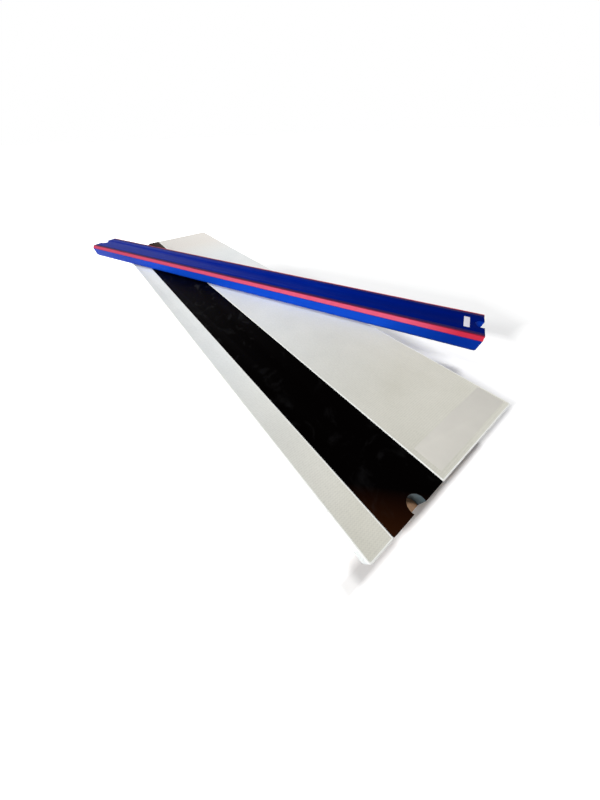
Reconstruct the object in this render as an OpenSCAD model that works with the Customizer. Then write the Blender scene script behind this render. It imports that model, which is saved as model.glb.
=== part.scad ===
// Long jump take-off board with a blanking board in its pit and an indicator
// board with clay edges lying across it, before it is set in its place.
// X runs along the board, across the runway. Y runs along the run-up, with the
// take-off plank on +Y and the landing side on -Y. The origin is the middle of
// the board in plan, on the floor that the feet stand on.

/* [Board] */
// Length of the board, across the runway
board_length = 1220; // [1210:1:1230]
// Width of the white take-off plank
takeoff_width = 200; // [198:1:202]
// Width of the pit between the two planks
pit_width = 100; // [98:1:102]
// Width of the narrow white plank on the landing side
front_width = 40; // [30:1:60]
// Height from the floor to the top of the planks, feet screwed right in
board_height = 100; // [100:1:104]
// Thickness of the planks with their sheet, which is the depth of the pit
plank_thickness = 24; // [21:1:32]
// Thickness of the non-slip sheet bonded to the planks
sheet_thickness = 2; // [1.5:0.5:3]
// Thickness of the plywood panel that is the floor of the pit
panel_thickness = 24; // [18:1:27]
// Set-back of the panel's long edges behind the planks
panel_setback = 10; // [5:1:14]
// Radius of the planks' outer corners, seen from above
outer_corner = 4; // [3:1:10]
// Radius of the planks' corners beside the pit
inner_corner = 2; // [1:0.5:4]
// Width of the eased edge round the top of the planks
eased_edge = 1.2; // [0.6:0.2:1.8]

/* [Boards for the pit] */
// Gap between a board in the pit and each wall of the pit
pit_gap = 0.5; // [0.3:0.1:1]
// Diameter of the finger holes in the ends of both boards
finger_hole = 25; // [22:1:28]
// Distance from the blanking board's end to its finger hole's centre
blanking_hole_inset = 4; // [3:1:9]
// Distance from the indicator board's end to its finger hole's centre
indicator_hole_inset = 4; // [3:1:9]
// Height of the indicator board above the planks when it is in the pit
indicator_rise = 7; // [6:1:8]
// Width of modelling clay on the indicator board's flat top, beside each slope
clay_margin = 10; // [8:1:12]
// Lead-in along the indicator board's lower edges
lead_in = 5; // [2:1:6]
// Where the middle of the loose indicator board lies, along the board
indicator_x = -61; // [-100:1:0]
// Where the middle of the loose indicator board lies, across the board
indicator_y = 44; // [0:1:80]
// Angle between the loose indicator board and the board under it
indicator_turn = 24.6; // [0:0.1:45]
// Diameter of the pegs that locate a board in the pit
peg_diameter = 12; // [10:1:14]
// Distance of each locating peg from the middle of the board
peg_offset = 400; // [200:10:420]

/* [Bearers] */
// Distance between neighbouring steel bearers
bearer_pitch = 480; // [420:10:500]
// Length of a bearer, across the board
bearer_length = 300; // [280:5:310]
// Height of a bearer
bearer_height = 28; // [26:1:30]
// Width of a bearer's web, outside its walls
bearer_web = 50; // [46:1:56]
// Width of each lip, outside the walls
bearer_lip = 28; // [26:1:32]
// Thickness of the pressed steel
steel_thickness = 3; // [2:0.5:3]

/* [Levelling feet] */
// Distance between the two feet of a bearer
foot_pitch = 250; // [220:5:250]
// Diameter of the levelling stud
stud_diameter = 12; // [10:1:12]
// Width across flats of the stud's hexagon and its nuts
stud_flats = 19; // [17:1:19]
// Diameter of the foot pad
pad_diameter = 44; // [36:1:50]

/* [Hidden] */
$fn = 64;
board_width = takeoff_width + pit_width + front_width;
outer_y = board_width / 2;
takeoff_y = outer_y - takeoff_width;
front_y = -outer_y + front_width;
pit_y = (takeoff_y + front_y) / 2;
pit_floor_z = board_height - plank_thickness;
panel_z = pit_floor_z - panel_thickness;
bearer_z = panel_z - bearer_height;
core_top_z = board_height - sheet_thickness;

insert_length = board_length - 1;
insert_width = pit_width - 2 * pit_gap;
insert_edge = 1.5;
indicator_height = plank_thickness + indicator_rise;
peg_height = 12;
peg_bore = peg_diameter + 0.8;
peg_bore_depth = peg_height + 2;

bend_radius = 3;
bearer_x = [bearer_pitch, 0, -bearer_pitch];
lip_hole_x = bearer_web / 2 + 12;

// Wood screw: shank and countersunk head
wood_screw_d = 5;
wood_screw_head = 9;
wood_screw_length = 40;
plank_screw_x = [-580, -330, -130, 130, 330, 580];
plank_screw_y = [-outer_y + front_width / 2 + 2, takeoff_y + 25, outer_y - 25];
bearer_screw_y = [takeoff_y + 50, outer_y - 50];

// Countersunk machine screw through the pit floor
bolt_d = 8;
bolt_head = 16;
bolt_length = panel_thickness + 13;
bolt_nut_flats = 13;
bolt_nut_height = 6.5;

// Heights of the foot, from the floor up
sole_height = 3;
pad_top_z = 12;
spigot_d = 8;
running_gap = 0.05;
hex_z = pad_top_z + 0.3;
hex_height = 5;
lock_nut_height = 6;
weld_nut_height = 10;
stud_top_z = panel_z - 1.5;
foot_places = [for (x = bearer_x) for (y = [-1, 1]) [x, y * foot_pitch / 2]];

BODY_NODES = [
    "base_panel", "takeoff_plank", "takeoff_sheet", "front_plank", "front_sheet",
    "locating_pegs", "blanking_board", "indicator_board", "clay_front",
    "clay_back", "bearer_near", "bearer_middle", "bearer_far", "pit_bolts",
    "pit_nuts", "plank_screws", "bearer_screws", "weld_nuts", "lock_nuts"
];
FOOT_NODES = [for (i = [1:6]) for (piece = ["sole", "pad", "stud"]) str("foot_", i, "_", piece)];

// Points of an arc about a centre, from one angle to another
function arc(centre, r, from, to, steps = 6) =
    [for (i = [0:steps]) let (a = from + (to - from) * i / steps) centre + r * [cos(a), sin(a)]];

function mirrored(points) =
    [for (i = [len(points) - 1:-1:0]) [-points[i][0], points[i][1]]];

// Takes the corner of a flat shape off to a radius; the corner points to +X and +Y
module corner_cut(r) {
    difference() {
        translate([-r, -r]) square(r + 1);
        translate([-r, -r]) circle(r);
    }
}

// Outline of a plank: the pit side lies on y = 0, the outer side on y = width
module plank_outline(width) {
    difference() {
        translate([-board_length / 2, 0]) square([board_length, width]);
        for (side = [-1, 1]) scale([side, 1]) {
            translate([board_length / 2, width]) corner_cut(outer_corner);
            translate([board_length / 2, 0]) mirror([0, 1]) corner_cut(inner_corner);
        }
    }
}

// One corner of the non-slip sheet, with its eased upper edge
module sheet_corner(r) {
    $fn = 32;
    cylinder(r = r, h = sheet_thickness - eased_edge);
    translate([0, 0, sheet_thickness - eased_edge])
        cylinder(r1 = r, r2 = r - 0.7 * eased_edge, h = eased_edge);
}

// Non-slip sheet over a plank, pit side on y = 0
module plank_sheet(width) {
    outer_x = board_length / 2 - outer_corner;
    inner_x = board_length / 2 - inner_corner;
    hull() for (side = [-1, 1]) {
        translate([side * outer_x, width - outer_corner, 0]) sheet_corner(outer_corner);
        translate([side * inner_x, inner_corner, 0]) sheet_corner(inner_corner);
    }
}

module at_takeoff() translate([0, takeoff_y, 0]) children();
module at_front() translate([0, front_y, 0]) mirror([0, 1, 0]) children();

// Wood screw pointing up, head face on z = 0
module wood_screw(countersunk) {
    head_height = (wood_screw_head - wood_screw_d) / 2;
    if (countersunk) cylinder(d1 = wood_screw_head, d2 = wood_screw_d, h = head_height);
    cylinder(d = wood_screw_d, h = wood_screw_length - wood_screw_d);
    translate([0, 0, wood_screw_length - wood_screw_d])
        cylinder(d1 = wood_screw_d, d2 = 1, h = wood_screw_d);
}

module place_plank_screws() {
    for (x = plank_screw_x, y = plank_screw_y) translate([x, y, panel_z]) children();
}

module place_bearer_screws() {
    for (x = bearer_x, side = [-1, 1], y = bearer_screw_y)
        translate([x + side * lip_hole_x, y, panel_z - steel_thickness]) children();
}

module place_pit_bolts() {
    for (x = bearer_x, side = [-1, 1])
        translate([x + side * lip_hole_x, pit_y, pit_floor_z]) children();
}

module place_feet() {
    for (place = foot_places) translate([place[0], place[1], 0]) children();
}

// Countersunk socket screw pointing down, head face on z = 0
module pit_bolt_body() {
    head_height = (bolt_head - bolt_d) / 2;
    translate([0, 0, -head_height]) cylinder(d1 = bolt_d, d2 = bolt_head, h = head_height);
    translate([0, 0, -bolt_length]) cylinder(d = bolt_d, h = bolt_length);
}

// Hexagon nut with its two faces chamfered, resting on z = 0
module nut(flats, height, bore) {
    corner = flats / sqrt(3);
    face = 0.47 * flats;
    difference() {
        intersection() {
            cylinder(r = corner, h = height, $fn = 6);
            rotate_extrude() polygon([
                [0, 0], [face, 0], [corner, (corner - face) * 0.6],
                [corner, height - (corner - face) * 0.6], [face, height], [0, height]
            ]);
        }
        translate([0, 0, -1]) cylinder(d = bore, h = height + 2);
    }
}

// Plywood panel: floor of the pit and backing of both planks
module base_panel() {
    color("burlywood") difference() {
        translate([-board_length / 2, -outer_y + panel_setback, panel_z])
            cube([board_length, board_width - 2 * panel_setback, panel_thickness]);
        place_plank_screws() wood_screw(true);
        place_bearer_screws() wood_screw(false);
        place_pit_bolts() pit_bolt_body();
        for (side = [-1, 1]) translate([side * peg_offset, pit_y, pit_floor_z - peg_height])
            cylinder(d = peg_diameter, h = peg_height + 1);
    }
}

module takeoff_plank() {
    color("white") difference() {
        at_takeoff() translate([0, 0, pit_floor_z])
            linear_extrude(core_top_z - pit_floor_z) plank_outline(takeoff_width);
        place_plank_screws() wood_screw(true);
        place_bearer_screws() wood_screw(false);
    }
}

module takeoff_sheet() {
    color("whitesmoke") at_takeoff() translate([0, 0, core_top_z]) plank_sheet(takeoff_width);
}

module front_plank() {
    color("white") difference() {
        at_front() translate([0, 0, pit_floor_z])
            linear_extrude(core_top_z - pit_floor_z) plank_outline(front_width);
        place_plank_screws() wood_screw(true);
    }
}

module front_sheet() {
    color("whitesmoke") at_front() translate([0, 0, core_top_z]) plank_sheet(front_width);
}

// Two pegs in the pit floor that keep a board from sliding along the pit
module locating_pegs() {
    color("silver") for (side = [-1, 1])
        translate([side * peg_offset, pit_y, pit_floor_z - peg_height]) rotate_extrude() polygon([
            [0, 0], [peg_diameter / 2, 0], [peg_diameter / 2, 2 * peg_height - 2],
            [peg_diameter / 2 - 2, 2 * peg_height], [0, 2 * peg_height]
        ]);
}

// Takes the finger hole out of each end and the peg bores out of the underside
module pit_board_cuts(hole_inset, height) {
    for (side = [-1, 1]) {
        translate([side * (insert_length / 2 - hole_inset), 0, -1])
            cylinder(d = finger_hole, h = height + 2);
        translate([side * peg_offset, 0, -1]) cylinder(d = peg_bore, h = peg_bore_depth + 1);
    }
}

module blanking_profile() {
    half = insert_width / 2;
    polygon([
        [-half + insert_edge, 0], [half - insert_edge, 0], [half, insert_edge],
        [half, plank_thickness - 0.8], [half - 0.8, plank_thickness],
        [-half + 0.8, plank_thickness], [-half, plank_thickness - 0.8], [-half, insert_edge]
    ]);
}

// Board that fills the pit, flush with the planks, for training and the triple jump
module blanking_board() {
    color("black") translate([0, pit_y, pit_floor_z]) difference() {
        rotate([90, 0, 90]) linear_extrude(insert_length, center = true) blanking_profile();
        pit_board_cuts(blanking_hole_inset, plank_thickness);
    }
}

module at_indicator() {
    translate([indicator_x, indicator_y, board_height]) rotate(indicator_turn) children();
}

// The board's section has a rebate along each upper edge for the modelling clay
module indicator_profile() {
    half = insert_width / 2;
    rebate = half - indicator_rise - clay_margin;
    polygon([
        [-half + lead_in, 0], [half - lead_in, 0], [half, lead_in], [half, plank_thickness],
        [rebate, plank_thickness], [rebate, indicator_height], [-rebate, indicator_height],
        [-rebate, plank_thickness], [-half, plank_thickness], [-half, lead_in]
    ]);
}

module indicator_board() {
    color("mediumblue") at_indicator() difference() {
        rotate([90, 0, 90]) linear_extrude(insert_length, center = true) indicator_profile();
        pit_board_cuts(indicator_hole_inset, indicator_height);
    }
}

// Modelling clay pressed into one rebate, sloped at 45 degrees on its outer side
module clay_strip(side) {
    half = insert_width / 2;
    rebate = half - indicator_rise - clay_margin;
    color("crimson") at_indicator() rotate([90, 0, 90]) linear_extrude(insert_length, center = true)
        scale([side, 1]) polygon([
            [rebate, plank_thickness], [half, plank_thickness],
            [half - indicator_rise, indicator_height], [rebate, indicator_height]
        ]);
}

// Section of a pressed hat bearer: web at the bottom, lips at the top
module hat_profile() {
    t = steel_thickness;
    wall = bearer_web / 2;
    low = [wall - t - bend_radius, t + bend_radius];
    high = [wall + bend_radius, bearer_height - t - bend_radius];
    tip = wall + bearer_lip;
    outside = concat(arc(low, t + bend_radius, -90, 0), arc(high, bend_radius, 180, 90),
        [[tip, bearer_height - t], [tip, bearer_height]]);
    inside = concat(arc(high, t + bend_radius, 90, 180), arc(low, bend_radius, 0, -90));
    polygon(concat(outside, inside, mirrored(inside), mirrored(outside)));
}

// Steel bearer across the underside, drilled for its screws, bolts and studs
module bearer(index) {
    x = bearer_x[index];
    color("gainsboro") difference() {
        translate([x, 0, bearer_z]) rotate([90, 0, 0])
            linear_extrude(bearer_length, center = true) hat_profile();
        for (side = [-1, 1]) {
            for (y = bearer_screw_y) translate([x + side * lip_hole_x, y, panel_z - 10])
                cylinder(d = wood_screw_d + 0.5, h = 20);
            translate([x + side * lip_hole_x, pit_y, panel_z - 10]) cylinder(d = bolt_d + 0.4, h = 20);
            translate([x, side * foot_pitch / 2, bearer_z - 1])
                cylinder(d = stud_diameter + 1, h = steel_thickness + 2);
        }
    }
}

// Socket screws through the pit floor into each bearer
module pit_bolts() {
    color("dimgray") place_pit_bolts() difference() {
        pit_bolt_body();
        translate([0, 0, -4]) cylinder(d = 5 * 2 / sqrt(3), h = 5, $fn = 6);
    }
}

module pit_nuts() {
    color("silver") place_pit_bolts()
        translate([0, 0, panel_z - pit_floor_z - steel_thickness - bolt_nut_height])
            nut(bolt_nut_flats, bolt_nut_height, bolt_d);
}

module plank_screws() {
    color("goldenrod") place_plank_screws() wood_screw(true);
}

// Pan-head screws up through the bearers' lips
module bearer_screws() {
    color("goldenrod") place_bearer_screws() {
        wood_screw(false);
        translate([0, 0, -3]) cylinder(d1 = wood_screw_head - 1, d2 = wood_screw_head + 1, h = 3);
    }
}

// Nuts welded inside the bearers, in which the levelling studs turn
module weld_nuts() {
    color("silver") place_feet() translate([0, 0, bearer_z + steel_thickness])
        nut(stud_flats, weld_nut_height, stud_diameter + 2 * running_gap);
}

// Thin nuts that lock the studs against the underside of the bearers
module lock_nuts() {
    color("silver") place_feet() translate([0, 0, bearer_z - lock_nut_height])
        nut(stud_flats, lock_nut_height, stud_diameter + 2 * running_gap);
}

// Rubber sole with a rim that grips the pad
module foot_sole(index) {
    r = pad_diameter / 2;
    color("black") translate(foot_places[index]) rotate_extrude() polygon([
        [0, 0], [r - 0.6, 0], [r, 0.6], [r, sole_height + 2], [r - 1.5, sole_height + 2],
        [r - 1.5, sole_height], [0, sole_height]
    ]);
}

// Steel pad with a raised hub and a blind seat for the stud's spigot
module foot_pad(index) {
    r = pad_diameter / 2 - 1.5;
    seat = spigot_d / 2 + running_gap;
    color("silver") translate(foot_places[index]) rotate_extrude() polygon([
        [0, sole_height], [r, sole_height], [r, sole_height + 2.5], [11, pad_top_z - 3],
        [9, pad_top_z], [seat, pad_top_z], [seat, pad_top_z - 6], [0, pad_top_z - 6]
    ]);
}

// Levelling stud: spigot, spanner hexagon, screwed shank and hexagon socket
module foot_stud(index) {
    tip = 1.2;
    color("lightgray") translate(foot_places[index]) difference() {
        union() {
            translate([0, 0, pad_top_z - 5.8]) cylinder(d = spigot_d, h = 7);
            translate([0, 0, hex_z]) nut(stud_flats, hex_height, 2);
            translate([0, 0, hex_z]) cylinder(d = stud_diameter, h = stud_top_z - hex_z - tip);
            translate([0, 0, stud_top_z - tip])
                cylinder(d1 = stud_diameter, d2 = stud_diameter - 2 * tip, h = tip);
        }
        translate([0, 0, stud_top_z - 6]) cylinder(d = 6 * 2 / sqrt(3), h = 7, $fn = 6);
    }
}

base_panel();
takeoff_plank();
takeoff_sheet();
front_plank();
front_sheet();
locating_pegs();
blanking_board();
indicator_board();
clay_strip(-1);  // clay_front
clay_strip(1);  // clay_back
bearer(0);  // bearer_near
bearer(1);  // bearer_middle
bearer(2);  // bearer_far
pit_bolts();
pit_nuts();
plank_screws();
bearer_screws();
weld_nuts();
lock_nuts();
for (i = [1:6]) {
    foot_sole(i - 1);
    foot_pad(i - 1);
    foot_stud(i - 1);
}
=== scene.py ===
"""Long jump take-off board, dressed for the photograph.

Everything is in metres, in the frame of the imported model: X along the board,
+Y the take-off plank's side, Z up from the floor that the feet stand on.
"""
import math

import bpy
import mathutils
import numpy as np
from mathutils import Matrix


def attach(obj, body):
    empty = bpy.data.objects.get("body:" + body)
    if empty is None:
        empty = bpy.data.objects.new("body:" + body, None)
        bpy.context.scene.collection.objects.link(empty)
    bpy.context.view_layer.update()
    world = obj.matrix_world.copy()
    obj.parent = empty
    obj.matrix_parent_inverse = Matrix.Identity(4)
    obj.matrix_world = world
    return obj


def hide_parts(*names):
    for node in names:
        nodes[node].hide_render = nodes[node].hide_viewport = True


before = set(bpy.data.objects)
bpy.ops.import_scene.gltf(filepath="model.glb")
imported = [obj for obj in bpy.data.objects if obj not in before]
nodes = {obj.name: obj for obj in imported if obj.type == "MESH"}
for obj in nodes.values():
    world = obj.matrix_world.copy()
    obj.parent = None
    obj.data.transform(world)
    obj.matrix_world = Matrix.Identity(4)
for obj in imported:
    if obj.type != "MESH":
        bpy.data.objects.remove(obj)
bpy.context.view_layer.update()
MM = 0.001


# --- Camera, floor, backdrop and light -------------------------------------
# A telephone's wide lens held close over the near end of the board, and a white
# paper sweep under it. Three soft suns, one overhead, one high and one low on
# the landing side, and a broad lamp that lifts the far end.
camera = bpy.data.objects.new("camera", bpy.data.cameras.new("camera"))
bpy.context.scene.collection.objects.link(camera)
camera.data.lens = 9.3749
camera.data.sensor_width = 36.0
camera.data.shift_x = 0.014535
camera.data.shift_y = 0.004222
camera.data.clip_start = 0.01
camera.location = (0.559273, -0.230232, 0.371809)
camera.rotation_euler = [math.radians(a) for a in (37.18244, 1.11539, 53.01240)]
bpy.context.scene.camera = camera
bpy.context.scene.view_settings.view_transform = "Standard"


def linear(code):
    """Linear RGBA of an sRGB colour "#rrggbb": a channel c becomes
    ((c + 0.055) / 1.055) to the power 2.4, or c / 12.92 near black."""
    c = np.array([int(code[i:i + 2], 16) for i in (1, 3, 5)]) / 255
    return (*np.where(c > 0.04045, ((c + 0.055) / 1.055) ** 2.4, c / 12.92), 1.0)


def add_node(owner, kind, inputs=None, **settings):
    """Adds one node to owner's tree. An input is linked where it is given an
    output, and set where it is given a value. settings are its properties."""
    tree = owner.node_tree
    node = tree.nodes.new("ShaderNode" + kind)
    for key, value in settings.items():
        setattr(node, key, value)
    for key, value in (inputs or {}).items():
        if isinstance(value, bpy.types.NodeSocket):
            tree.links.new(value, node.inputs[key])
        else:
            node.inputs[key].default_value = value
    return node


def new_tree(owner):
    """Empties owner's node tree and returns owner."""
    owner.use_nodes = True
    owner.node_tree.nodes.clear()
    return owner


def maths(owner, operation, *inputs):
    """Result of an operation on outputs and numbers."""
    return add_node(owner, "Math", dict(enumerate(inputs)), operation=operation).outputs[0]


def ramp(owner, source, start, end, low=0.0, high=1.0):
    """Goes from low to high while source goes from start to end."""
    return add_node(owner, "MapRange", {"Value": source, "From Min": start, "From Max": end,
                                        "To Min": low, "To Max": high}).outputs[0]


def object_place(owner):
    """Object coordinates of the shaded point."""
    return add_node(owner, "TexCoord").outputs["Object"]


def split(owner, vector):
    """The outputs "X", "Y" and "Z" of a vector."""
    return add_node(owner, "SeparateXYZ", {0: vector}).outputs


def dot(owner, vector, direction):
    """Dot product of an output and a fixed direction."""
    return add_node(owner, "VectorMath", {0: vector, 1: direction},
                    operation="DOT_PRODUCT").outputs["Value"]


FLOOR_SIZE = 60.0
ACROSS_THE_LOOSE_BOARD = (-0.416, 0.909, 0.0)

# White paper sweep: matt, so it shows only soft shade. The camera sees a little
# more light on it than falls on it. That glow rises away from the board, and
# where the photograph's own backdrop is burnt out: along the landing side, off
# the near end, between the two boards, and beyond and beside the loose one.
sweep = new_tree(bpy.data.materials.new("white_paper_sweep"))
path = add_node(sweep, "LightPath").outputs
seen = maths(sweep, "MAXIMUM", path["Is Camera Ray"], path["Is Glossy Ray"])
seen = maths(sweep, "MAXIMUM", seen, path["Is Transmission Ray"])
place = object_place(sweep)
axes = split(sweep, place)
away = add_node(sweep, "VectorMath", {0: place, 1: (0.3, 0.1, 0.0)}, operation="DISTANCE")
across = dot(sweep, place, ACROSS_THE_LOOSE_BOARD)
landing_side = maths(sweep, "MULTIPLY", ramp(sweep, axes["Y"], -0.08, -0.15),
                     ramp(sweep, axes["X"], 0.62, 0.59))
landing_floor = ramp(sweep, axes["Y"], -0.19, -0.25)
near_end = ramp(sweep, axes["X"], 0.630, 0.646, 0.0, 0.8)
between = maths(sweep, "MULTIPLY",
                ramp(sweep, dot(sweep, place, (0.06, 1.0, 0.0)), 0.345, 0.395, 0.0, 0.5),
                ramp(sweep, across, 0.24, 0.32, 1.0, 0.0))
beyond = ramp(sweep, across, 0.43, 0.80, 0.0, 0.45)
beside = maths(sweep, "MULTIPLY", ramp(sweep, axes["X"], 0.51, 0.60, 0.0, 0.5),
               ramp(sweep, axes["Y"], 0.36, 0.44))
glow = ramp(sweep, away.outputs["Value"], 0.6, 1.15, 0.05, 0.9)
for part in (landing_side, landing_floor, near_end, between, beyond, beside):
    glow = maths(sweep, "MAXIMUM", glow, part)
glow = maths(sweep, "MULTIPLY", glow, seen)
matt = add_node(sweep, "BsdfDiffuse", {"Color": (0.9, 0.9, 0.9, 1)}).outputs[0]
shine = add_node(sweep, "Emission", {"Strength": glow}).outputs[0]
both = add_node(sweep, "AddShader", {0: matt, 1: shine}).outputs[0]
add_node(sweep, "OutputMaterial", {"Surface": both})

floor_mesh = bpy.data.meshes.new("floor")
corner = FLOOR_SIZE / 2
floor_mesh.from_pydata([(-corner, -corner, 0), (corner, -corner, 0), (corner, corner, 0),
                        (-corner, corner, 0)], [], [(0, 1, 2, 3)])
floor_mesh.materials.append(sweep)
floor = bpy.data.objects.new("floor", floor_mesh)
bpy.context.scene.collection.objects.link(floor)

# The world is white to the camera. Reflections see a white backdrop that fades
# to a grey ceiling, and surfaces get an even soft light from it.
WORLD_LIGHT = 0.18
world = new_tree(bpy.data.worlds.new("studio"))
bpy.context.scene.world = world
path = add_node(world, "LightPath").outputs
direction = add_node(world, "TexCoord").outputs["Generated"]
ceiling = ramp(world, split(world, direction)["Z"], 0.1, 0.6, 1.0, 0.15)
mirror = maths(world, "MAXIMUM", path["Is Glossy Ray"], path["Is Transmission Ray"])
level = add_node(world, "Mix", {"Factor": mirror, 2: WORLD_LIGHT, 3: ceiling}).outputs[0]
level = add_node(world, "Mix", {"Factor": path["Is Camera Ray"], 2: level, 3: 1.0}).outputs[0]
sky = add_node(world, "Background", {"Strength": level, "Color": (1, 1, 1, 1)}).outputs[0]
add_node(world, "OutputWorld", {"Surface": sky})


def add_light(name, kind, energy, source):
    """A light that shines from source's direction and shows in no reflection."""
    lamp = bpy.data.objects.new(name, bpy.data.lights.new(name, kind))
    lamp.data.energy = energy
    lamp.rotation_euler = mathutils.Vector(source).to_track_quat("Z", "Y").to_euler()
    lamp.visible_glossy = False
    bpy.context.scene.collection.objects.link(lamp)
    return lamp


# Each sun: strength over pi, angular size, and the direction it shines from.
for name, strength, size, source in (("overhead_light", 0.37, 9, (-0.27, 0.05, 1.0)),
                                     ("key_light", 0.45, 6, (-0.28, -1.30, 1.0)),
                                     ("side_light", 0.33, 6, (-0.12, -0.87, 0.36))):
    add_light(name, "SUN", strength * math.pi, source).data.angle = math.radians(size)
lift = add_light("far_light", "AREA", 2.6, (0.0, -0.45, 1.0))
lift.data.color = (0.88, 0.96, 1.0)
lift.data.size = 1.0
lift.location = (-0.5, -0.7, 1.0)


# --- Base panel ------------------------------------------------------------
# The floor of the pit, and the backing that both planks are screwed and glued
# to: 24 mm birch plywood under a clear sealer, sawn on its four edges.
def new_material(name, **sockets):
    """A material with one Principled shader, its sockets set from the keyword
    values (underscores stand for spaces). Returns the material and the shader."""
    material = new_tree(bpy.data.materials.new(name))
    shader = add_node(material, "BsdfPrincipled",
                      {key.replace("_", " "): value for key, value in sockets.items()})
    add_node(material, "OutputMaterial", {"Surface": shader.outputs[0]})
    return material, shader


def feed(shader, socket, output):
    """Links an output to one of the shader's sockets."""
    shader.id_data.links.new(output, shader.inputs[socket])


def dress(material, *names):
    """Gives CAD nodes the material in their only slot."""
    for name in names:
        nodes[name].data.materials.clear()
        nodes[name].data.materials.append(material)


def blend(owner, factor, first, second):
    """Goes from first to second, each a colour's code or an output."""
    first, second = (linear(c) if isinstance(c, str) else c for c in (first, second))
    return add_node(owner, "Mix", {"Factor": factor, 6: first, 7: second},
                    data_type="RGBA").outputs[2]


def noise(owner, vector, scale, detail, roughness=0.5, distortion=0.0):
    """Soft noise from 0 to 1 with about scale blotches to the metre."""
    return add_node(owner, "TexNoise", {"Vector": vector, "Scale": scale, "Detail": detail,
                                        "Roughness": roughness,
                                        "Distortion": distortion}).outputs[0]


def squeeze(owner, vector, times):
    """Y and Z grow by times, so a texture on it runs long in X, as grain does."""
    return add_node(owner, "Mapping", {"Vector": vector, "Scale": (1.0, times, times)}).outputs[0]


VENEER = 1.4 * MM


def ply_wave(owner, height):
    """Sine of pi times the height over a veneer's thickness, from -1 to 1."""
    return maths(owner, "SINE", maths(owner, "MULTIPLY", height, math.pi / VENEER))


def bump(owner, height, strength, depth):
    """Normals of the surface with height's relief on it, depth at the most."""
    return add_node(owner, "Bump", {"Height": height, "Strength": strength,
                                    "Distance": depth}).outputs[0]


# Birch plywood: faces pale and pinkish with long soft grain along X, edges
# striped by 1.4 mm veneers, every second one end grain and darker.
birch, shader = new_material("sealed_birch_plywood", Roughness=0.5, Specular_IOR_Level=0.3)
place = object_place(birch)
grain = noise(birch, squeeze(birch, place, 14.0), 9.0, 6.0, 0.6, 0.4)
face_colour = blend(birch, ramp(birch, grain, 0.35, 0.7), "#c8a182", "#b08868")
stripe = ramp(birch, ply_wave(birch, split(birch, place)["Z"]), -0.3, 0.3)
edge_colour = blend(birch, stripe, "#8a6242", "#d2ab82")
facing = split(birch, add_node(birch, "NewGeometry").outputs["Normal"])
flat = maths(birch, "GREATER_THAN", maths(birch, "ABSOLUTE", facing["Z"]), 0.5)
feed(shader, "Base Color", blend(birch, flat, edge_colour, face_colour))
feed(shader, "Normal", bump(birch, grain, 0.4, 0.2 * MM))
dress(birch, "base_panel")


# --- Planks ----------------------------------------------------------------
# Two planks of painted hardwood, 200 and 40 mm wide, glued and screwed to the
# base panel. Their outer corners are rounded to 4 mm, those by the pit to 2 mm.

# Gloss white paint over wood: the grain under it shows as a faint ripple.
paint, shader = new_material("white_gloss_paint_on_wood", Roughness=0.32,
                             Specular_IOR_Level=0.25)
place = object_place(paint)
ripple = noise(paint, squeeze(paint, place, 10.0), 40.0, 4.0, 0.55)
grime = ramp(paint, noise(paint, place, 14.0, 5.0, 0.6), 0.45, 0.8)
feed(shader, "Base Color", blend(paint, grime, "#dee2e1", "#d4d9d7"))
feed(shader, "Normal", bump(paint, ripple, 0.35, 0.15 * MM))
dress(paint, "takeoff_plank", "front_plank")


# --- Non-slip sheets -------------------------------------------------------
# A 2 mm white sheet bonded on each plank, so that a spiked shoe grips. Its top
# is pressed with a fine woven pattern, and its edge is rounded over smooth.
HALF_LENGTH = 610.0
SHEET_LOW, SHEET_TOP = 98.0, 100.0
EDGE_ROUND = 1.2
SMOOTH_RIM = 1.8
PRESSED_WIDE, PRESSED_DEEP = 0.4, 0.12


def corner_arc(x, y, radius, start, end, steps=6):
    """Points (x + r cos a, y + r sin a), with a evenly from start to end degrees."""
    a = np.radians(np.linspace(start, end, steps + 1))
    return np.stack([x + radius * np.cos(a), y + radius * np.sin(a)], axis=1)


def plank_outline(low_y, high_y, low_r, high_r, inset):
    """Outline of a plank drawn in by inset, counter-clockwise from above: four
    corner arcs, each of its radius less the inset, but never under 0.4 mm."""
    a, b = max(low_r - inset, 0.4), max(high_r - inset, 0.4)
    x, y, top = HALF_LENGTH - inset, low_y + inset, high_y - inset
    return np.concatenate([
        corner_arc(x - a, y + a, a, -90, 0), corner_arc(x - b, top - b, b, 0, 90),
        corner_arc(b - x, top - b, b, 90, 180), corner_arc(a - x, y + a, a, 180, 270)])


def at_height(outline, z):
    """Points (x, y, z) over an outline's points (x, y)."""
    return np.column_stack([outline, np.full(len(outline), z)])


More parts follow.
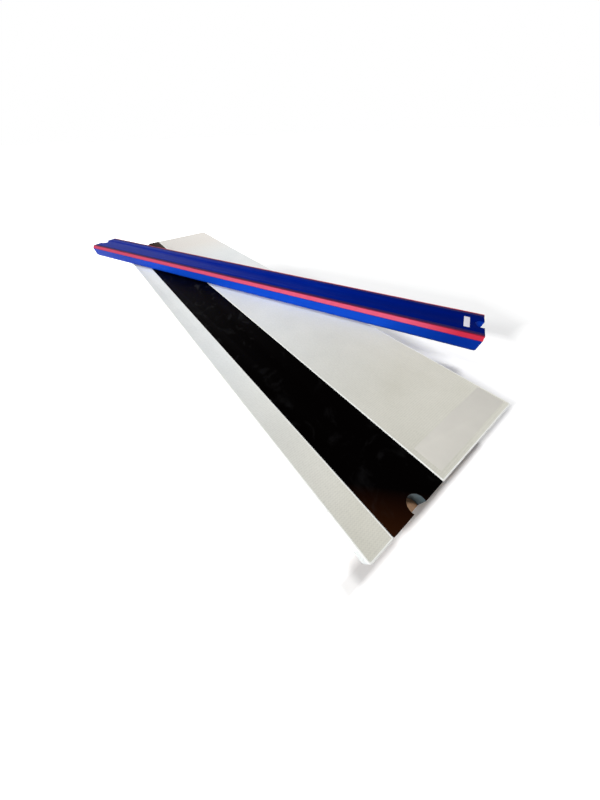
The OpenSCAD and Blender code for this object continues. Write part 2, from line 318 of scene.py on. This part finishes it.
def rings_to_mesh(name, rings, parts=None, materials=(), caps=(0, 0), extra=None, sharp=40):
    """Closed skin over rings of points (rings, points, xyz) in mm. Point j of
    ring i is joined to point j of ring i + 1 and to both next points by a quad,
    and the first and last rings are capped. parts is the material of each band
    of quads, caps that of the caps. extra holds more points and faces."""
    count, points = rings.shape[:2]
    i, j = np.meshgrid(np.arange(count - 1) * points, np.arange(points), indexing="ij")
    k = (j + 1) % points
    quads = np.stack([i + j, i + k, i + points + k, i + points + j], axis=-1).reshape(-1, 4)
    verts = rings.reshape(-1, 3)
    last = (count - 1) * points + np.arange(points)
    faces = quads.tolist()
    index = np.repeat(np.zeros(count - 1, int) if parts is None else np.array(parts), points)
    if extra is None:
        faces += [np.arange(points)[::-1].tolist(), last.tolist()]
        index = np.append(index, caps)
    else:
        more_verts, more_faces = extra(len(verts), points)
        verts = np.concatenate([verts, more_verts])
        faces += [last.tolist()] + more_faces
        index = np.concatenate([index, [caps[1]], np.full(len(more_faces), caps[0])])
    mesh = bpy.data.meshes.new(name)
    mesh.from_pydata((verts * MM).tolist(), [], faces)
    for material in materials:
        mesh.materials.append(material)
    mesh.polygons.foreach_set("material_index", index.astype(np.int32))
    mesh.polygons.foreach_set("use_smooth", np.arange(len(faces)) < len(quads))
    mesh.set_sharp_from_angle(angle=math.radians(sharp))
    piece = bpy.data.objects.new(name, mesh)
    bpy.context.scene.collection.objects.link(piece)
    return piece


def finish_piece(piece, body, slot, *replaced):
    """The piece rides on body and stands for CAD nodes, which are hidden. slot is not used."""
    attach(piece, body)
    if replaced:
        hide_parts(*replaced)


# Woven pressing: threads run both ways. The real pitch, about 1.6 mm, is under
# a pixel here, so it is drawn at 3 mm. The hollows hold a little grey dust. The
# sheet's colour carries painted light: a painted sheen makes it cool and light in
# the middle, painted shade makes it darker and warm at the near end, and painted
# light makes it bright and warm at the far end.
WEAVE_PITCH = 3.0 * MM
sheet_top, shader = new_material("woven_pressed_white_sheet", Roughness=0.55,
                                 Specular_IOR_Level=0.35)
place = object_place(sheet_top)
threads = add_node(sheet_top, "VectorMath", {0: place, 1: (2 * math.pi / WEAVE_PITCH,) * 3},
                   operation="MULTIPLY").outputs[0]
threads = add_node(sheet_top, "VectorMath", {0: threads}, operation="SINE").outputs[0]
axes = split(sheet_top, threads)
weave = maths(sheet_top, "MULTIPLY", axes["X"], axes["Y"])
ribs = maths(sheet_top, "MULTIPLY", axes["X"], 0.6)
relief = maths(sheet_top, "ADD", weave, ribs)
hollow = ramp(sheet_top, relief, -1.4, 1.4, 0.5, 0.0)
dust = maths(sheet_top, "MULTIPLY", noise(sheet_top, place, 260.0, 2.0), hollow)
blotch = ramp(sheet_top, noise(sheet_top, place, 11.0, 6.0, 0.62), 0.35, 0.72)
warm = blend(sheet_top, blotch, "#dddbd0", "#d4d2c6")
cool = blend(sheet_top, blotch, "#eef0ef", "#e5e8e8")
# Painted shade: darker and warm towards the near end; the cool middle is a painted sheen.
sheet_near_painted_shade = ramp(sheet_top, dot(sheet_top, place, (1.0, 0.5, 0.0)), 0.15, 0.50)
# Painted light: bright and warm towards the far end.
sheet_far_painted_light = ramp(sheet_top, split(sheet_top, place)["X"], -0.32, -0.48)
tone = blend(sheet_top, sheet_far_painted_light, blend(sheet_top, sheet_near_painted_shade, cool, warm), "#ece7e1")
feed(shader, "Base Color", blend(sheet_top, dust, tone, "#9c9a92"))
feed(shader, "Normal", bump(sheet_top, relief, 0.5, 0.05 * MM))

# Rolled edge of the same sheet, smooth, with its colour made brighter than the pressed top as a
# painted highlight along the edge.
sheet_rim, shader = new_material("smooth_white_sheet_edge", Roughness=0.3)
rub = noise(sheet_rim, object_place(sheet_rim), 60.0, 4.0)
feed(shader, "Base Color", blend(sheet_rim, rub, "#f6f7f4", "#e6e6e0"))

for plank, low_y, high_y, low_r, high_r in (("takeoff", -30, 170, 2, 4),
                                            ("front", -170, -130, 4, 2)):
    turn = np.radians(np.linspace(0, 90, 5))
    levels = [(0.0, SHEET_LOW)]
    levels += zip(EDGE_ROUND * (1 - np.cos(turn)), SHEET_TOP - EDGE_ROUND * (1 - np.sin(turn)))
    levels += [(SMOOTH_RIM, SHEET_TOP), (SMOOTH_RIM + PRESSED_WIDE, SHEET_TOP - PRESSED_DEEP)]
    rings = np.stack([at_height(plank_outline(low_y, high_y, low_r, high_r, inset), z)
                      for inset, z in levels])
    sheet = rings_to_mesh(plank + "_woven_sheet", rings, [0] * (len(levels) - 1),
                          (sheet_rim, sheet_top), caps=(0, 1))
    finish_piece(sheet, "board", "nonslip_sheet", plank + "_sheet")


# --- Clear film on the take-off plank --------------------------------------
# A bare strip of thin clear film near the near end, 40 by 185 mm, stuck on the
# pressed top and level with the rim. It is a little greyer than the sheet round
# it and smoother, with soft wrinkles.
FILM_X, FILM_Y = (561.0, 601.0), (-20.0, 165.0)
FILM_CORNER = 1.5
film, shader = new_material("clear_film_over_white_sheet", Roughness=0.28,
                            Specular_IOR_Level=0.4)
wrinkle = noise(film, object_place(film), 45.0, 3.0)
feed(shader, "Base Color", blend(film, wrinkle, "#d5d2ca", "#cdcac2"))
feed(shader, "Normal", bump(film, wrinkle, 0.3, 0.2 * MM))


def patch_outline(x, y, radius, inset):
    """Rounded rectangle drawn in by inset, counter-clockwise from above."""
    r, (x0, x1), (y0, y1) = radius - inset, x, y
    return np.concatenate([corner_arc(x1 - radius, y0 + radius, r, -90, 0),
                           corner_arc(x1 - radius, y1 - radius, r, 0, 90),
                           corner_arc(x0 + radius, y1 - radius, r, 90, 180),
                           corner_arc(x0 + radius, y0 + radius, r, 180, 270)])


def patch_rings(x, y, radius, z, thickness):
    """Three rings of a thin patch: its foot, its edge, and its rounded top."""
    levels = ((0, z), (0, z + thickness * 0.7), (0.15, z + thickness))
    return np.stack([at_height(patch_outline(x, y, radius, inset), height)
                     for inset, height in levels])


film_strip = rings_to_mesh("clear_film_strip", patch_rings(
    FILM_X, FILM_Y, FILM_CORNER, SHEET_TOP - PRESSED_DEEP, PRESSED_DEEP), materials=(film,))
finish_piece(film_strip, "board", "nonslip_sheet")


# --- Locating pegs ---------------------------------------------------------
# Two 12 mm pegs pressed into the pit floor, which fill bores in the underside
# of whichever board lies in the pit. Turned from steel and zinc plated.

# Bright zinc plate: blue-grey and fairly smooth, with cloudy dull patches.
zinc, shader = new_material("bright_zinc_plated_steel", Metallic=1.0)
cloud = noise(zinc, object_place(zinc), 220.0, 4.0)
feed(shader, "Base Color", blend(zinc, cloud, "#d3d8dc", "#a9adb0"))
feed(shader, "Roughness", ramp(zinc, cloud, 0.0, 1.0, 0.2, 0.48))
dress(zinc, "locating_pegs")


# --- Blanking board --------------------------------------------------------
# The dark board that fills the pit flush with the planks: 24 mm plywood faced
# with smooth phenolic film, its sawn edges sealed, a finger hole in each end
# and two bores in the underside for the pegs. It lifts out by hand.
PIT_Y, PIT_FLOOR = -80.0, 76.0
BOARD_HALF, HALF_WIDTH = 609.5, 49.5
BLANKING_TALL = 24.0
UNDER_EASE, TOP_EASE = 1.5, 0.8
FINGER_R, FINGER_INSET = 12.5, 4.0
PEG_X, PEG_BORE_R, PEG_BORE_DEEP = 400.0, 6.4, 14.0
BORE_POINTS = 32
CORNER_STEPS, NOTCH_STEPS = 4, 32
NOTCH_MIDDLE = CORNER_STEPS + 1 + NOTCH_STEPS // 2


def pit_board_outline(half_length, half_width, hole_x, hole_r, corner_r=1.2):
    """Outline of a board with a round notch in each end, counter-clockwise from
    above. The near half is a corner arc, the notch as an arc of hole_r about
    (hole_x, 0) between the points where it meets the end, and a corner arc. The
    far half is the same turned about the middle."""
    mouth = math.degrees(math.acos((half_length - hole_x) / hole_r))
    x, y = half_length - corner_r, half_width - corner_r
    near = np.concatenate([corner_arc(x, -y, corner_r, -90, 0, CORNER_STEPS),
                           corner_arc(hole_x, 0, hole_r, -mouth, mouth - 360, NOTCH_STEPS),
                           corner_arc(x, y, corner_r, 0, 90, CORNER_STEPS)])
    return np.concatenate([near, -near])


def peg_bores(first, points):
    """Underside of a board with two peg bores: each bore is a ring at the face
    and one at its end. The face is two polygons that meet along the middle line,
    from notch to bore, bore to bore and bore to notch."""
    a = np.linspace(0, 2 * math.pi, BORE_POINTS, endpoint=False)
    circle = np.stack([PEG_BORE_R * np.cos(a), PEG_BORE_R * np.sin(a)], axis=1)
    verts = np.concatenate([at_height(circle + (x, 0), z)
                            for x in (PEG_X, -PEG_X) for z in (0, PEG_BORE_DEEP)])
    near, far = first, first + 2 * BORE_POINTS
    half, half_outline = BORE_POINTS // 2, points // 2
    ring = np.arange(BORE_POINTS)
    following = (ring + 1) % BORE_POINTS
    faces = []
    for start in (near, far):
        end = start + BORE_POINTS
        wall = np.stack([start + following, start + ring, end + ring, end + following], axis=1)
        faces += wall.tolist() + [(end + ring)[::-1].tolist()]
    high = list(range(NOTCH_MIDDLE, half_outline + NOTCH_MIDDLE + 1))
    low = list(range(half_outline + NOTCH_MIDDLE, points)) + list(range(NOTCH_MIDDLE + 1))
    over = [start + step for start in (far, near) for step in range(half, -1, -1)]
    under = [start + step % BORE_POINTS for start in (near, far)
             for step in range(BORE_POINTS, half - 1, -1)]
    faces += [(high + over)[::-1], (low + under)[::-1]]
    return verts, faces


def pit_board(name, levels, materials, parts, place):
    """Board with notches and peg bores. levels gives z, half width, shortening
    of the ends and widening of the notches for each ring; place puts it."""
    rings = np.stack([at_height(pit_board_outline(BOARD_HALF - shorter, half_width,
                                                  BOARD_HALF - FINGER_INSET,
                                                  FINGER_R + wider), z)
                      for z, half_width, shorter, wider in levels])

    def placed_bores(first, points):
        verts, faces = peg_bores(first, points)
        return place(verts), faces

    return rings_to_mesh(name, place(rings), parts, materials, caps=(0, 1), extra=placed_bores)


# Phenolic film on plywood: almost black, turning brown at the near corner and at the far
# end, where the brown is partly a painted reflection. Satin, with dry grey wipes from hands and
# shoes.
phenolic, shader = new_material("dark_brown_phenolic_film", Specular_IOR_Level=0.015)
place = object_place(phenolic)
wipe = noise(phenolic, place, 20.0, 7.0, 0.65, 1.8)
axes = split(phenolic, place)
worn = ramp(phenolic, axes["X"], 0.3, -0.2, 0.18, 1.0)
wiped = maths(phenolic, "MULTIPLY", ramp(phenolic, wipe, 0.55, 0.85), worn)
near_corner = ramp(phenolic, maths(phenolic, "SUBTRACT", axes["X"], axes["Y"]), 0.665, 0.735)
# The brown towards the far end is partly a painted reflection haze.
brown = maths(phenolic, "MAXIMUM", near_corner, ramp(phenolic, axes["X"], -0.38, -0.52))
tint = blend(phenolic, brown, "#020101", "#281206")
feed(shader, "Base Color", blend(phenolic, wiped, tint, "#3a3a3c"))
feed(shader, "Roughness", ramp(phenolic, wipe, 0.0, 1.0, 0.32, 0.6))

# Edge sealer brushed on the sawn plies: dark grey, matt, striped by the plies.
sealer, shader = new_material("grey_sealed_ply_edge", Roughness=0.6, Specular_IOR_Level=0.3)
stripe = ramp(sealer, ply_wave(sealer, split(sealer, object_place(sealer))["Z"]), -0.6, 0.6)
feed(shader, "Base Color", blend(sealer, stripe, "#3a474b", "#46555a"))
feed(shader, "Normal", bump(sealer, stripe, 0.3, 0.1 * MM))


def in_the_pit(points):
    """Moves points from the board's own frame to its place on the pit floor."""
    return points + (0, PIT_Y, PIT_FLOOR)


turn = np.radians(np.linspace(0, 90, 4))
drawn_in = TOP_EASE * (1 - np.cos(turn))
blanking_levels = [(0, HALF_WIDTH - UNDER_EASE, 0.6, 0.6), (UNDER_EASE, HALF_WIDTH, 0, 0)]
blanking_levels += zip(BLANKING_TALL - TOP_EASE * (1 - np.sin(turn)), HALF_WIDTH - drawn_in,
                       drawn_in, drawn_in)
blanking = pit_board("dark_blanking_board", blanking_levels, (sealer, phenolic),
                     [0, 0, 1, 1, 1], in_the_pit)
finish_piece(blanking, "blanking", "film_plywood", "blanking_board")


# --- Indicator board -------------------------------------------------------
# The loose board that takes the blanking board's place in the pit, here laid
# slantwise across the planks: plywood, chamfered below and rebated along both
# upper edges for clay, with navy film on top and bright blue paint elsewhere.
INDICATOR_PLACE = (-61.0, 44.0, 100.0)
INDICATOR_TURN = math.radians(24.6)
CHAMFER_WIDE, CHAMFER_TALL = 5.0, 5.0
REBATE_HALF, REBATE_Z, INDICATOR_TOP = 32.5, 24.0, 31.0


def across_the_board(points):
    """Turns points about Z by the indicator board's angle and moves them there."""
    c, s = math.cos(INDICATOR_TURN), math.sin(INDICATOR_TURN)
    return points @ np.array([[c, s, 0], [-s, c, 0], [0, 0, 1]]) + INDICATOR_PLACE


def indicator_frame(material):
    """Coordinates along, across and up from the indicator board's own middle."""
    return add_node(material, "Mapping", {"Vector": object_place(material),
                                          "Location": tuple(v * MM for v in INDICATOR_PLACE),
                                          "Rotation": (0, 0, INDICATOR_TURN)},
                    vector_type="TEXTURE").outputs[0]


# Navy film: deep blue with long faint drag marks, and painted shade makes it deeper
# still at the near end. Its darkness next to the bright blue sides is partly painted
# shade on the top. Satin, with a haze of reflected light that grows towards the far end.
navy, shader = new_material("navy_film", Roughness=0.42)
local = indicator_frame(navy)
along = split(navy, local)["X"]
drag = ramp(navy, noise(navy, squeeze(navy, local, 9.0), 14.0, 6.0), 0.35, 0.75)
# Painted shade: the film is deeper blue towards the near end.
navy_near_painted_shade = ramp(navy, along, 0.2, 0.55)
feed(shader, "Base Color", blend(navy, navy_near_painted_shade, blend(navy, drag, "#001a80", "#04258c"), "#00146a"))
feed(shader, "Specular IOR Level", ramp(navy, along, 0.35, -0.25, 0.001, 0.012))

# Bright blue paint on sawn plywood: satin, with the plies faintly telegraphed, and
# painted shade darkening both ends. A purple line along the rebate's lip is partly clay
# stain and partly painted shade under the clay.
blue, shader = new_material("bright_blue_paint_on_ply", Roughness=0.4, Specular_IOR_Level=0.03)
local = indicator_frame(blue)
axes = split(blue, local)
brushed = noise(blue, squeeze(blue, local, 12.0), 24.0, 5.0)
tone = blend(blue, brushed, "#0c48ca", "#1454da")
# Painted shade: the paint is darker towards both ends.
blue_ends_painted_shade = maths(blue, "MAXIMUM", ramp(blue, axes["X"], 0.42, 0.56),
             ramp(blue, axes["X"], -0.25, -0.40))
tone = blend(blue, blue_ends_painted_shade, tone, "#0334a4")
side = maths(blue, "GREATER_THAN", maths(blue, "ABSOLUTE", axes["Y"]), 48.0 * MM)
# Purple line under the clay's lip: partly clay stain, partly painted shade.
lip_stain_and_painted_shade = maths(blue, "MULTIPLY", ramp(blue, axes["Z"], 22.6 * MM, 23.8 * MM, 0.0, 0.7), side)
feed(shader, "Base Color", blend(blue, lip_stain_and_painted_shade, tone, "#5a2468"))
feed(shader, "Normal", bump(blue, ply_wave(blue, axes["Z"]), 0.2, 0.1 * MM))

# From the underside up: the chamfer, the side, the rebate's floor and its wall,
# and the rounded edge of the top.
indicator_levels = [
    (0, HALF_WIDTH - CHAMFER_WIDE, 0.4, 0.4), (0.4, HALF_WIDTH - CHAMFER_WIDE + 0.4, 0, 0),
    (CHAMFER_TALL, HALF_WIDTH, 0, 0), (REBATE_Z - 0.3, HALF_WIDTH, 0, 0),
    (REBATE_Z, HALF_WIDTH - 0.3, 0, 0), (REBATE_Z, REBATE_HALF, 0, 0),
    (INDICATOR_TOP - 0.5, REBATE_HALF, 0, 0),
    (INDICATOR_TOP - 0.15, REBATE_HALF - 0.1, 0.15, 0.15),
    (INDICATOR_TOP, REBATE_HALF - 0.3, 0.5, 0.5)]
indicator = pit_board("blue_indicator_board", indicator_levels, (blue, navy),
                      [0, 0, 0, 0, 0, 0, 1, 1], across_the_board)
finish_piece(indicator, "indicator", "blue_wood", "indicator_board")

# Small bare label near the right-hand end of the top: white vinyl with a faint
# violet-grey speckle, and nothing printed on it.
LABEL_X, LABEL_Y = (573.0, 583.5), (-22.0, 18.0)
LABEL_CORNER, LABEL_THICKNESS = 1.0, 0.15
vinyl, shader = new_material("white_vinyl_label", Roughness=0.35)
speck = noise(vinyl, indicator_frame(vinyl), 320.0, 3.0)
feed(shader, "Base Color", blend(vinyl, speck, "#e9e7f0", "#cfcad6"))
label = rings_to_mesh("bare_label", across_the_board(patch_rings(
    LABEL_X, LABEL_Y, LABEL_CORNER, INDICATOR_TOP, LABEL_THICKNESS)), materials=(vinyl,))
finish_piece(label, "indicator", "blue_wood")


# --- Modelling clay --------------------------------------------------------
# A strip pressed by hand into each rebate and struck off at 45 degrees, which
# takes the print of a shoe that oversteps. Its thin inner margin on top is
# smeared, and darker than the thick slope.
CLAY_STATIONS = 320
CLAY_ROUND = 0.9
CLAY_TALL = INDICATOR_TOP - REBATE_Z
WAVE_DEEP, WAVE_LENGTHS, BURIED = 0.3, (20, 160), 3.0


def clay_profile():
    """Section (across, up) of a strip, counter-clockwise: from the rebate's inner
    corner out to the lip, up the 45 degree slope, over a rounded shoulder and
    back along the top."""
    shoulder = corner_arc(HALF_WIDTH - CLAY_TALL - 0.4, INDICATOR_TOP - CLAY_ROUND,
                          CLAY_ROUND, 45, 90, 4)
    slope = np.linspace((HALF_WIDTH - 0.2, REBATE_Z + 0.4), shoulder[0], 6)
    top = np.linspace(shoulder[-1], (REBATE_HALF, INDICATOR_TOP), 6)
    foot = [(REBATE_HALF, REBATE_Z), (HALF_WIDTH - 0.5, REBATE_Z)]
    return np.concatenate([foot, slope[:-1], shoulder, top[1:]])


def clay_strip(name, side, seed):
    """The profile carried from one end of the board to the other. Each point
    moves in and down by a smooth wave, the mean of five sines along the strip
    with random lengths from 20 to 160 mm, up to 0.3 mm, and less within 3 mm of
    the buried faces."""
    rng = np.random.default_rng(seed)
    profile = clay_profile()
    along = np.linspace(-BOARD_HALF, BOARD_HALF, CLAY_STATIONS)
    waves = 2 * math.pi / rng.uniform(*WAVE_LENGTHS, (5, len(profile)))
    wave = np.sin(along[:, None, None] * waves + rng.uniform(0, 6.3, waves.shape)).mean(axis=1)
    free = np.clip((profile - (REBATE_HALF, REBATE_Z)) / BURIED, 0, 1).prod(axis=1)
    inward = WAVE_DEEP * free * (wave - 1) / 2
    across = side * (profile[:, 0] + inward)
    up = profile[:, 1] + inward
    rings = np.stack([np.broadcast_to(along[:, None], across.shape), across, up], axis=-1)
    if side > 0:
        rings = rings[:, ::-1]
    return rings_to_mesh(name, across_the_board(rings[:, ::-1]), materials=(clay,), sharp=50)


# Modelling clay: waxy, opaque, pinkish red on the slope, with painted shade making it
# deeper red at the near end, duller at the far end, with finger marks about 12 mm across.
# The smear on top is dark red, partly a thin smear and partly painted shade, and lets
# the navy film through where it thins out.
clay, shader = new_material("red_modelling_clay", Roughness=0.5, Specular_IOR_Level=0.1,
                            Subsurface_Weight=0.05, Subsurface_Scale=0.002)
local = indicator_frame(clay)
axes = split(clay, local)
marks = noise(clay, local, 80.0, 5.0, 0.6)
# The top margin's dark red is partly painted shade.
margin = maths(clay, "MINIMUM", ramp(clay, axes["Y"], -43.6 * MM, -42.2 * MM),
               ramp(clay, axes["Y"], 41.0 * MM, 39.0 * MM))
thin = ramp(clay, maths(clay, "ABSOLUTE", axes["Y"]), 42.6 * MM, 37.0 * MM)
slope = blend(clay, marks, "#e66280", "#d2506c")
# Painted shade: the slope is deeper red towards the near end.
slope = blend(clay, ramp(clay, axes["X"], 0.47, 0.57), slope, "#c42d45")
slope = blend(clay, ramp(clay, axes["X"], 0.2, -0.45), slope, "#b8425c")
smear_and_shade = blend(clay, thin, "#701028", "#1c0c4c")
feed(shader, "Base Color", blend(clay, margin, slope, smear_and_shade))
feed(shader, "Normal", bump(clay, marks, 0.4, 0.3 * MM))

for name, side, seed in (("clay_front", -1, 4), ("clay_back", 1, 9)):
    finish_piece(clay_strip(name + "_strip", side, seed), "indicator", "modelling_clay", name)


# --- Bearers ---------------------------------------------------------------
# Three hat sections pressed from 3 mm steel and dipped in zinc, which carry the
# board on its six feet. Wood screws hold their lips up to the base panel.

# Hot-dip galvanising: dull grey, with crystals 8 mm across that differ in tone.
galvanised, shader = new_material("hot_dip_galvanised_steel", Metallic=0.9)
spangle = add_node(galvanised, "TexVoronoi",
                   {"Vector": object_place(galvanised), "Scale": 125.0}).outputs["Color"]
shade = add_node(galvanised, "SeparateColor", {0: spangle}).outputs
feed(shader, "Base Color", blend(galvanised, shade[0], "#b4b8ba", "#8d9194"))
feed(shader, "Roughness", ramp(galvanised, shade[1], 0.0, 1.0, 0.38, 0.62))
dress(galvanised, "bearer_near", "bearer_middle", "bearer_far")


# --- Screws, bolts and nuts ------------------------------------------------
# Wood screws in yellow zinc, black socket bolts through the pit floor, and
# bright nuts: those of the bolts, those welded in the bearers, and lock nuts.

# Yellow chromate over zinc: gold, with a soft cloud of a pinker copper tone.
yellow_zinc, shader = new_material("yellow_chromated_zinc", Metallic=1.0, Roughness=0.34)
cloud = noise(yellow_zinc, object_place(yellow_zinc), 300.0, 2.0)
feed(shader, "Base Color", blend(yellow_zinc, cloud, "#d9b25a", "#c08f62"))
dress(yellow_zinc, "plank_screws", "bearer_screws")

# Black oxide: thin, oily and dark, rubbed to grey steel in spots.
black_oxide, shader = new_material("black_oxide_steel", Metallic=1.0)
rub = noise(black_oxide, object_place(black_oxide), 400.0, 4.0)
rubbed = ramp(black_oxide, rub, 0.5, 0.8)
feed(shader, "Base Color", blend(black_oxide, rubbed, "#26272a", "#5a5b5e"))
feed(shader, "Roughness", ramp(black_oxide, rub, 0.0, 1.0, 0.3, 0.5))
dress(black_oxide, "pit_bolts")
dress(zinc, "pit_nuts", "weld_nuts", "lock_nuts")


# --- Levelling feet --------------------------------------------------------
# Six feet, two under each bearer. A stud with a spanner hexagon runs up through
# the lock nut and the weld nut, and turns in a pressed pad on a rubber sole.

# Rubber: matt black with a dusty bloom and a fine moulded grit.
rubber, shader = new_material("black_moulded_rubber", Roughness=0.8, Specular_IOR_Level=0.25)
grit = noise(rubber, object_place(rubber), 500.0, 3.0)
feed(shader, "Base Color", blend(rubber, grit, "#131313", "#2c2c2d"))
feed(shader, "Normal", bump(rubber, grit, 0.5, 0.2 * MM))

THREAD_PITCH, THREAD_DEEP = 1.75, 1.0
THREAD_STEEP, CREST_FLAT = 1.25, 0.12
STUD_LOW, STUD_R, SPIGOT_R, SPIGOT_EASE = 6.2, 6.0, 4.0, 0.5
HEXAGON_FLATS, HEXAGON_LOW, HEXAGON_TALL = 19.0, 12.3, 5.0
HEXAGON_TURNED_R, HEXAGON_FACE_R, HEXAGON_EASE = 10.6, 9.3, 0.7
NECK_LOW_R, NECK_HIGH_R = 5.6, 5.3
STUD_TOP, STUD_EASE, SOCKET_FLATS, SOCKET_DEEP = 50.5, 1.2, 6.0, 6.0
STUD_ANGLES, ROWS_PER_TURN = 48, 8


def hexagon(angle, flats):
    """Radius of a hexagon at an angle: half its flats over the cosine of the
    angle from the middle of the nearest flat."""
    sixth = math.pi / 3
    return flats / 2 / np.cos((angle + sixth / 2) % sixth - sixth / 2)


def stud_rings(x, y):
    """Rings from the spigot up to the stud's end, and down into its socket. On
    the shank the radius falls from the crest by the thread's depth as a
    triangle wave of height over pitch less angle over a turn, clipped flat at
    crest and root, which makes a right-handed helix; it fades out over the
    first and the last turn."""
    angle = np.linspace(0, 2 * math.pi, STUD_ANGLES, endpoint=False)
    plain = np.ones(STUD_ANGLES)
    wide = np.minimum(hexagon(angle, HEXAGON_FLATS), HEXAGON_TURNED_R)
    narrow = np.minimum(wide, HEXAGON_FACE_R)
    high = HEXAGON_LOW + HEXAGON_TALL
    rows = [(STUD_LOW, plain * (SPIGOT_R - SPIGOT_EASE)),
            (STUD_LOW + SPIGOT_EASE, plain * SPIGOT_R), (HEXAGON_LOW, plain * SPIGOT_R),
            (HEXAGON_LOW, narrow), (HEXAGON_LOW + HEXAGON_EASE, wide),
            (high - HEXAGON_EASE, wide), (high, narrow), (high, plain * NECK_LOW_R),
            (high + 0.5, plain * NECK_HIGH_R)]
    start, end = high + STUD_EASE, STUD_TOP - STUD_EASE
    count = int((end - start) / THREAD_PITCH * ROWS_PER_TURN) + 1
    z = np.linspace(start, end, count)[:, None]
    phase = (z / THREAD_PITCH - angle / (2 * math.pi)) % 1
    fade = np.clip(np.minimum(z - start, end - z) / THREAD_PITCH, 0, 1)
    groove = 1 - np.abs(2 * phase - 1)
    depth = THREAD_DEEP * np.clip(groove * THREAD_STEEP - CREST_FLAT, 0, 1)
    rows += zip(z[:, 0], STUD_R - fade * depth)
    socket = hexagon(angle, SOCKET_FLATS)
    rows += [(STUD_TOP, plain * (STUD_R - STUD_EASE)), (STUD_TOP, socket + 0.3),
             (STUD_TOP - 0.5, socket), (STUD_TOP - SOCKET_DEEP, socket)]
    heights = np.array([row[0] for row in rows])[:, None] + 0 * angle
    radii = np.stack([row[1] for row in rows])
    return np.stack([x + radii * np.cos(angle), y + radii * np.sin(angle), heights], axis=-1)


foot_places = [(x, y) for x in (480, 0, -480) for y in (-125, 125)]
for number, (x, y) in enumerate(foot_places, 1):
    dress(rubber, f"foot_{number}_sole")
    dress(zinc, f"foot_{number}_pad")
    stud = rings_to_mesh(f"threaded_stud_{number}", stud_rings(x, y), materials=(zinc,), sharp=30)
    finish_piece(stud, f"stud_{number}", "zinc_steel", f"foot_{number}_stud")
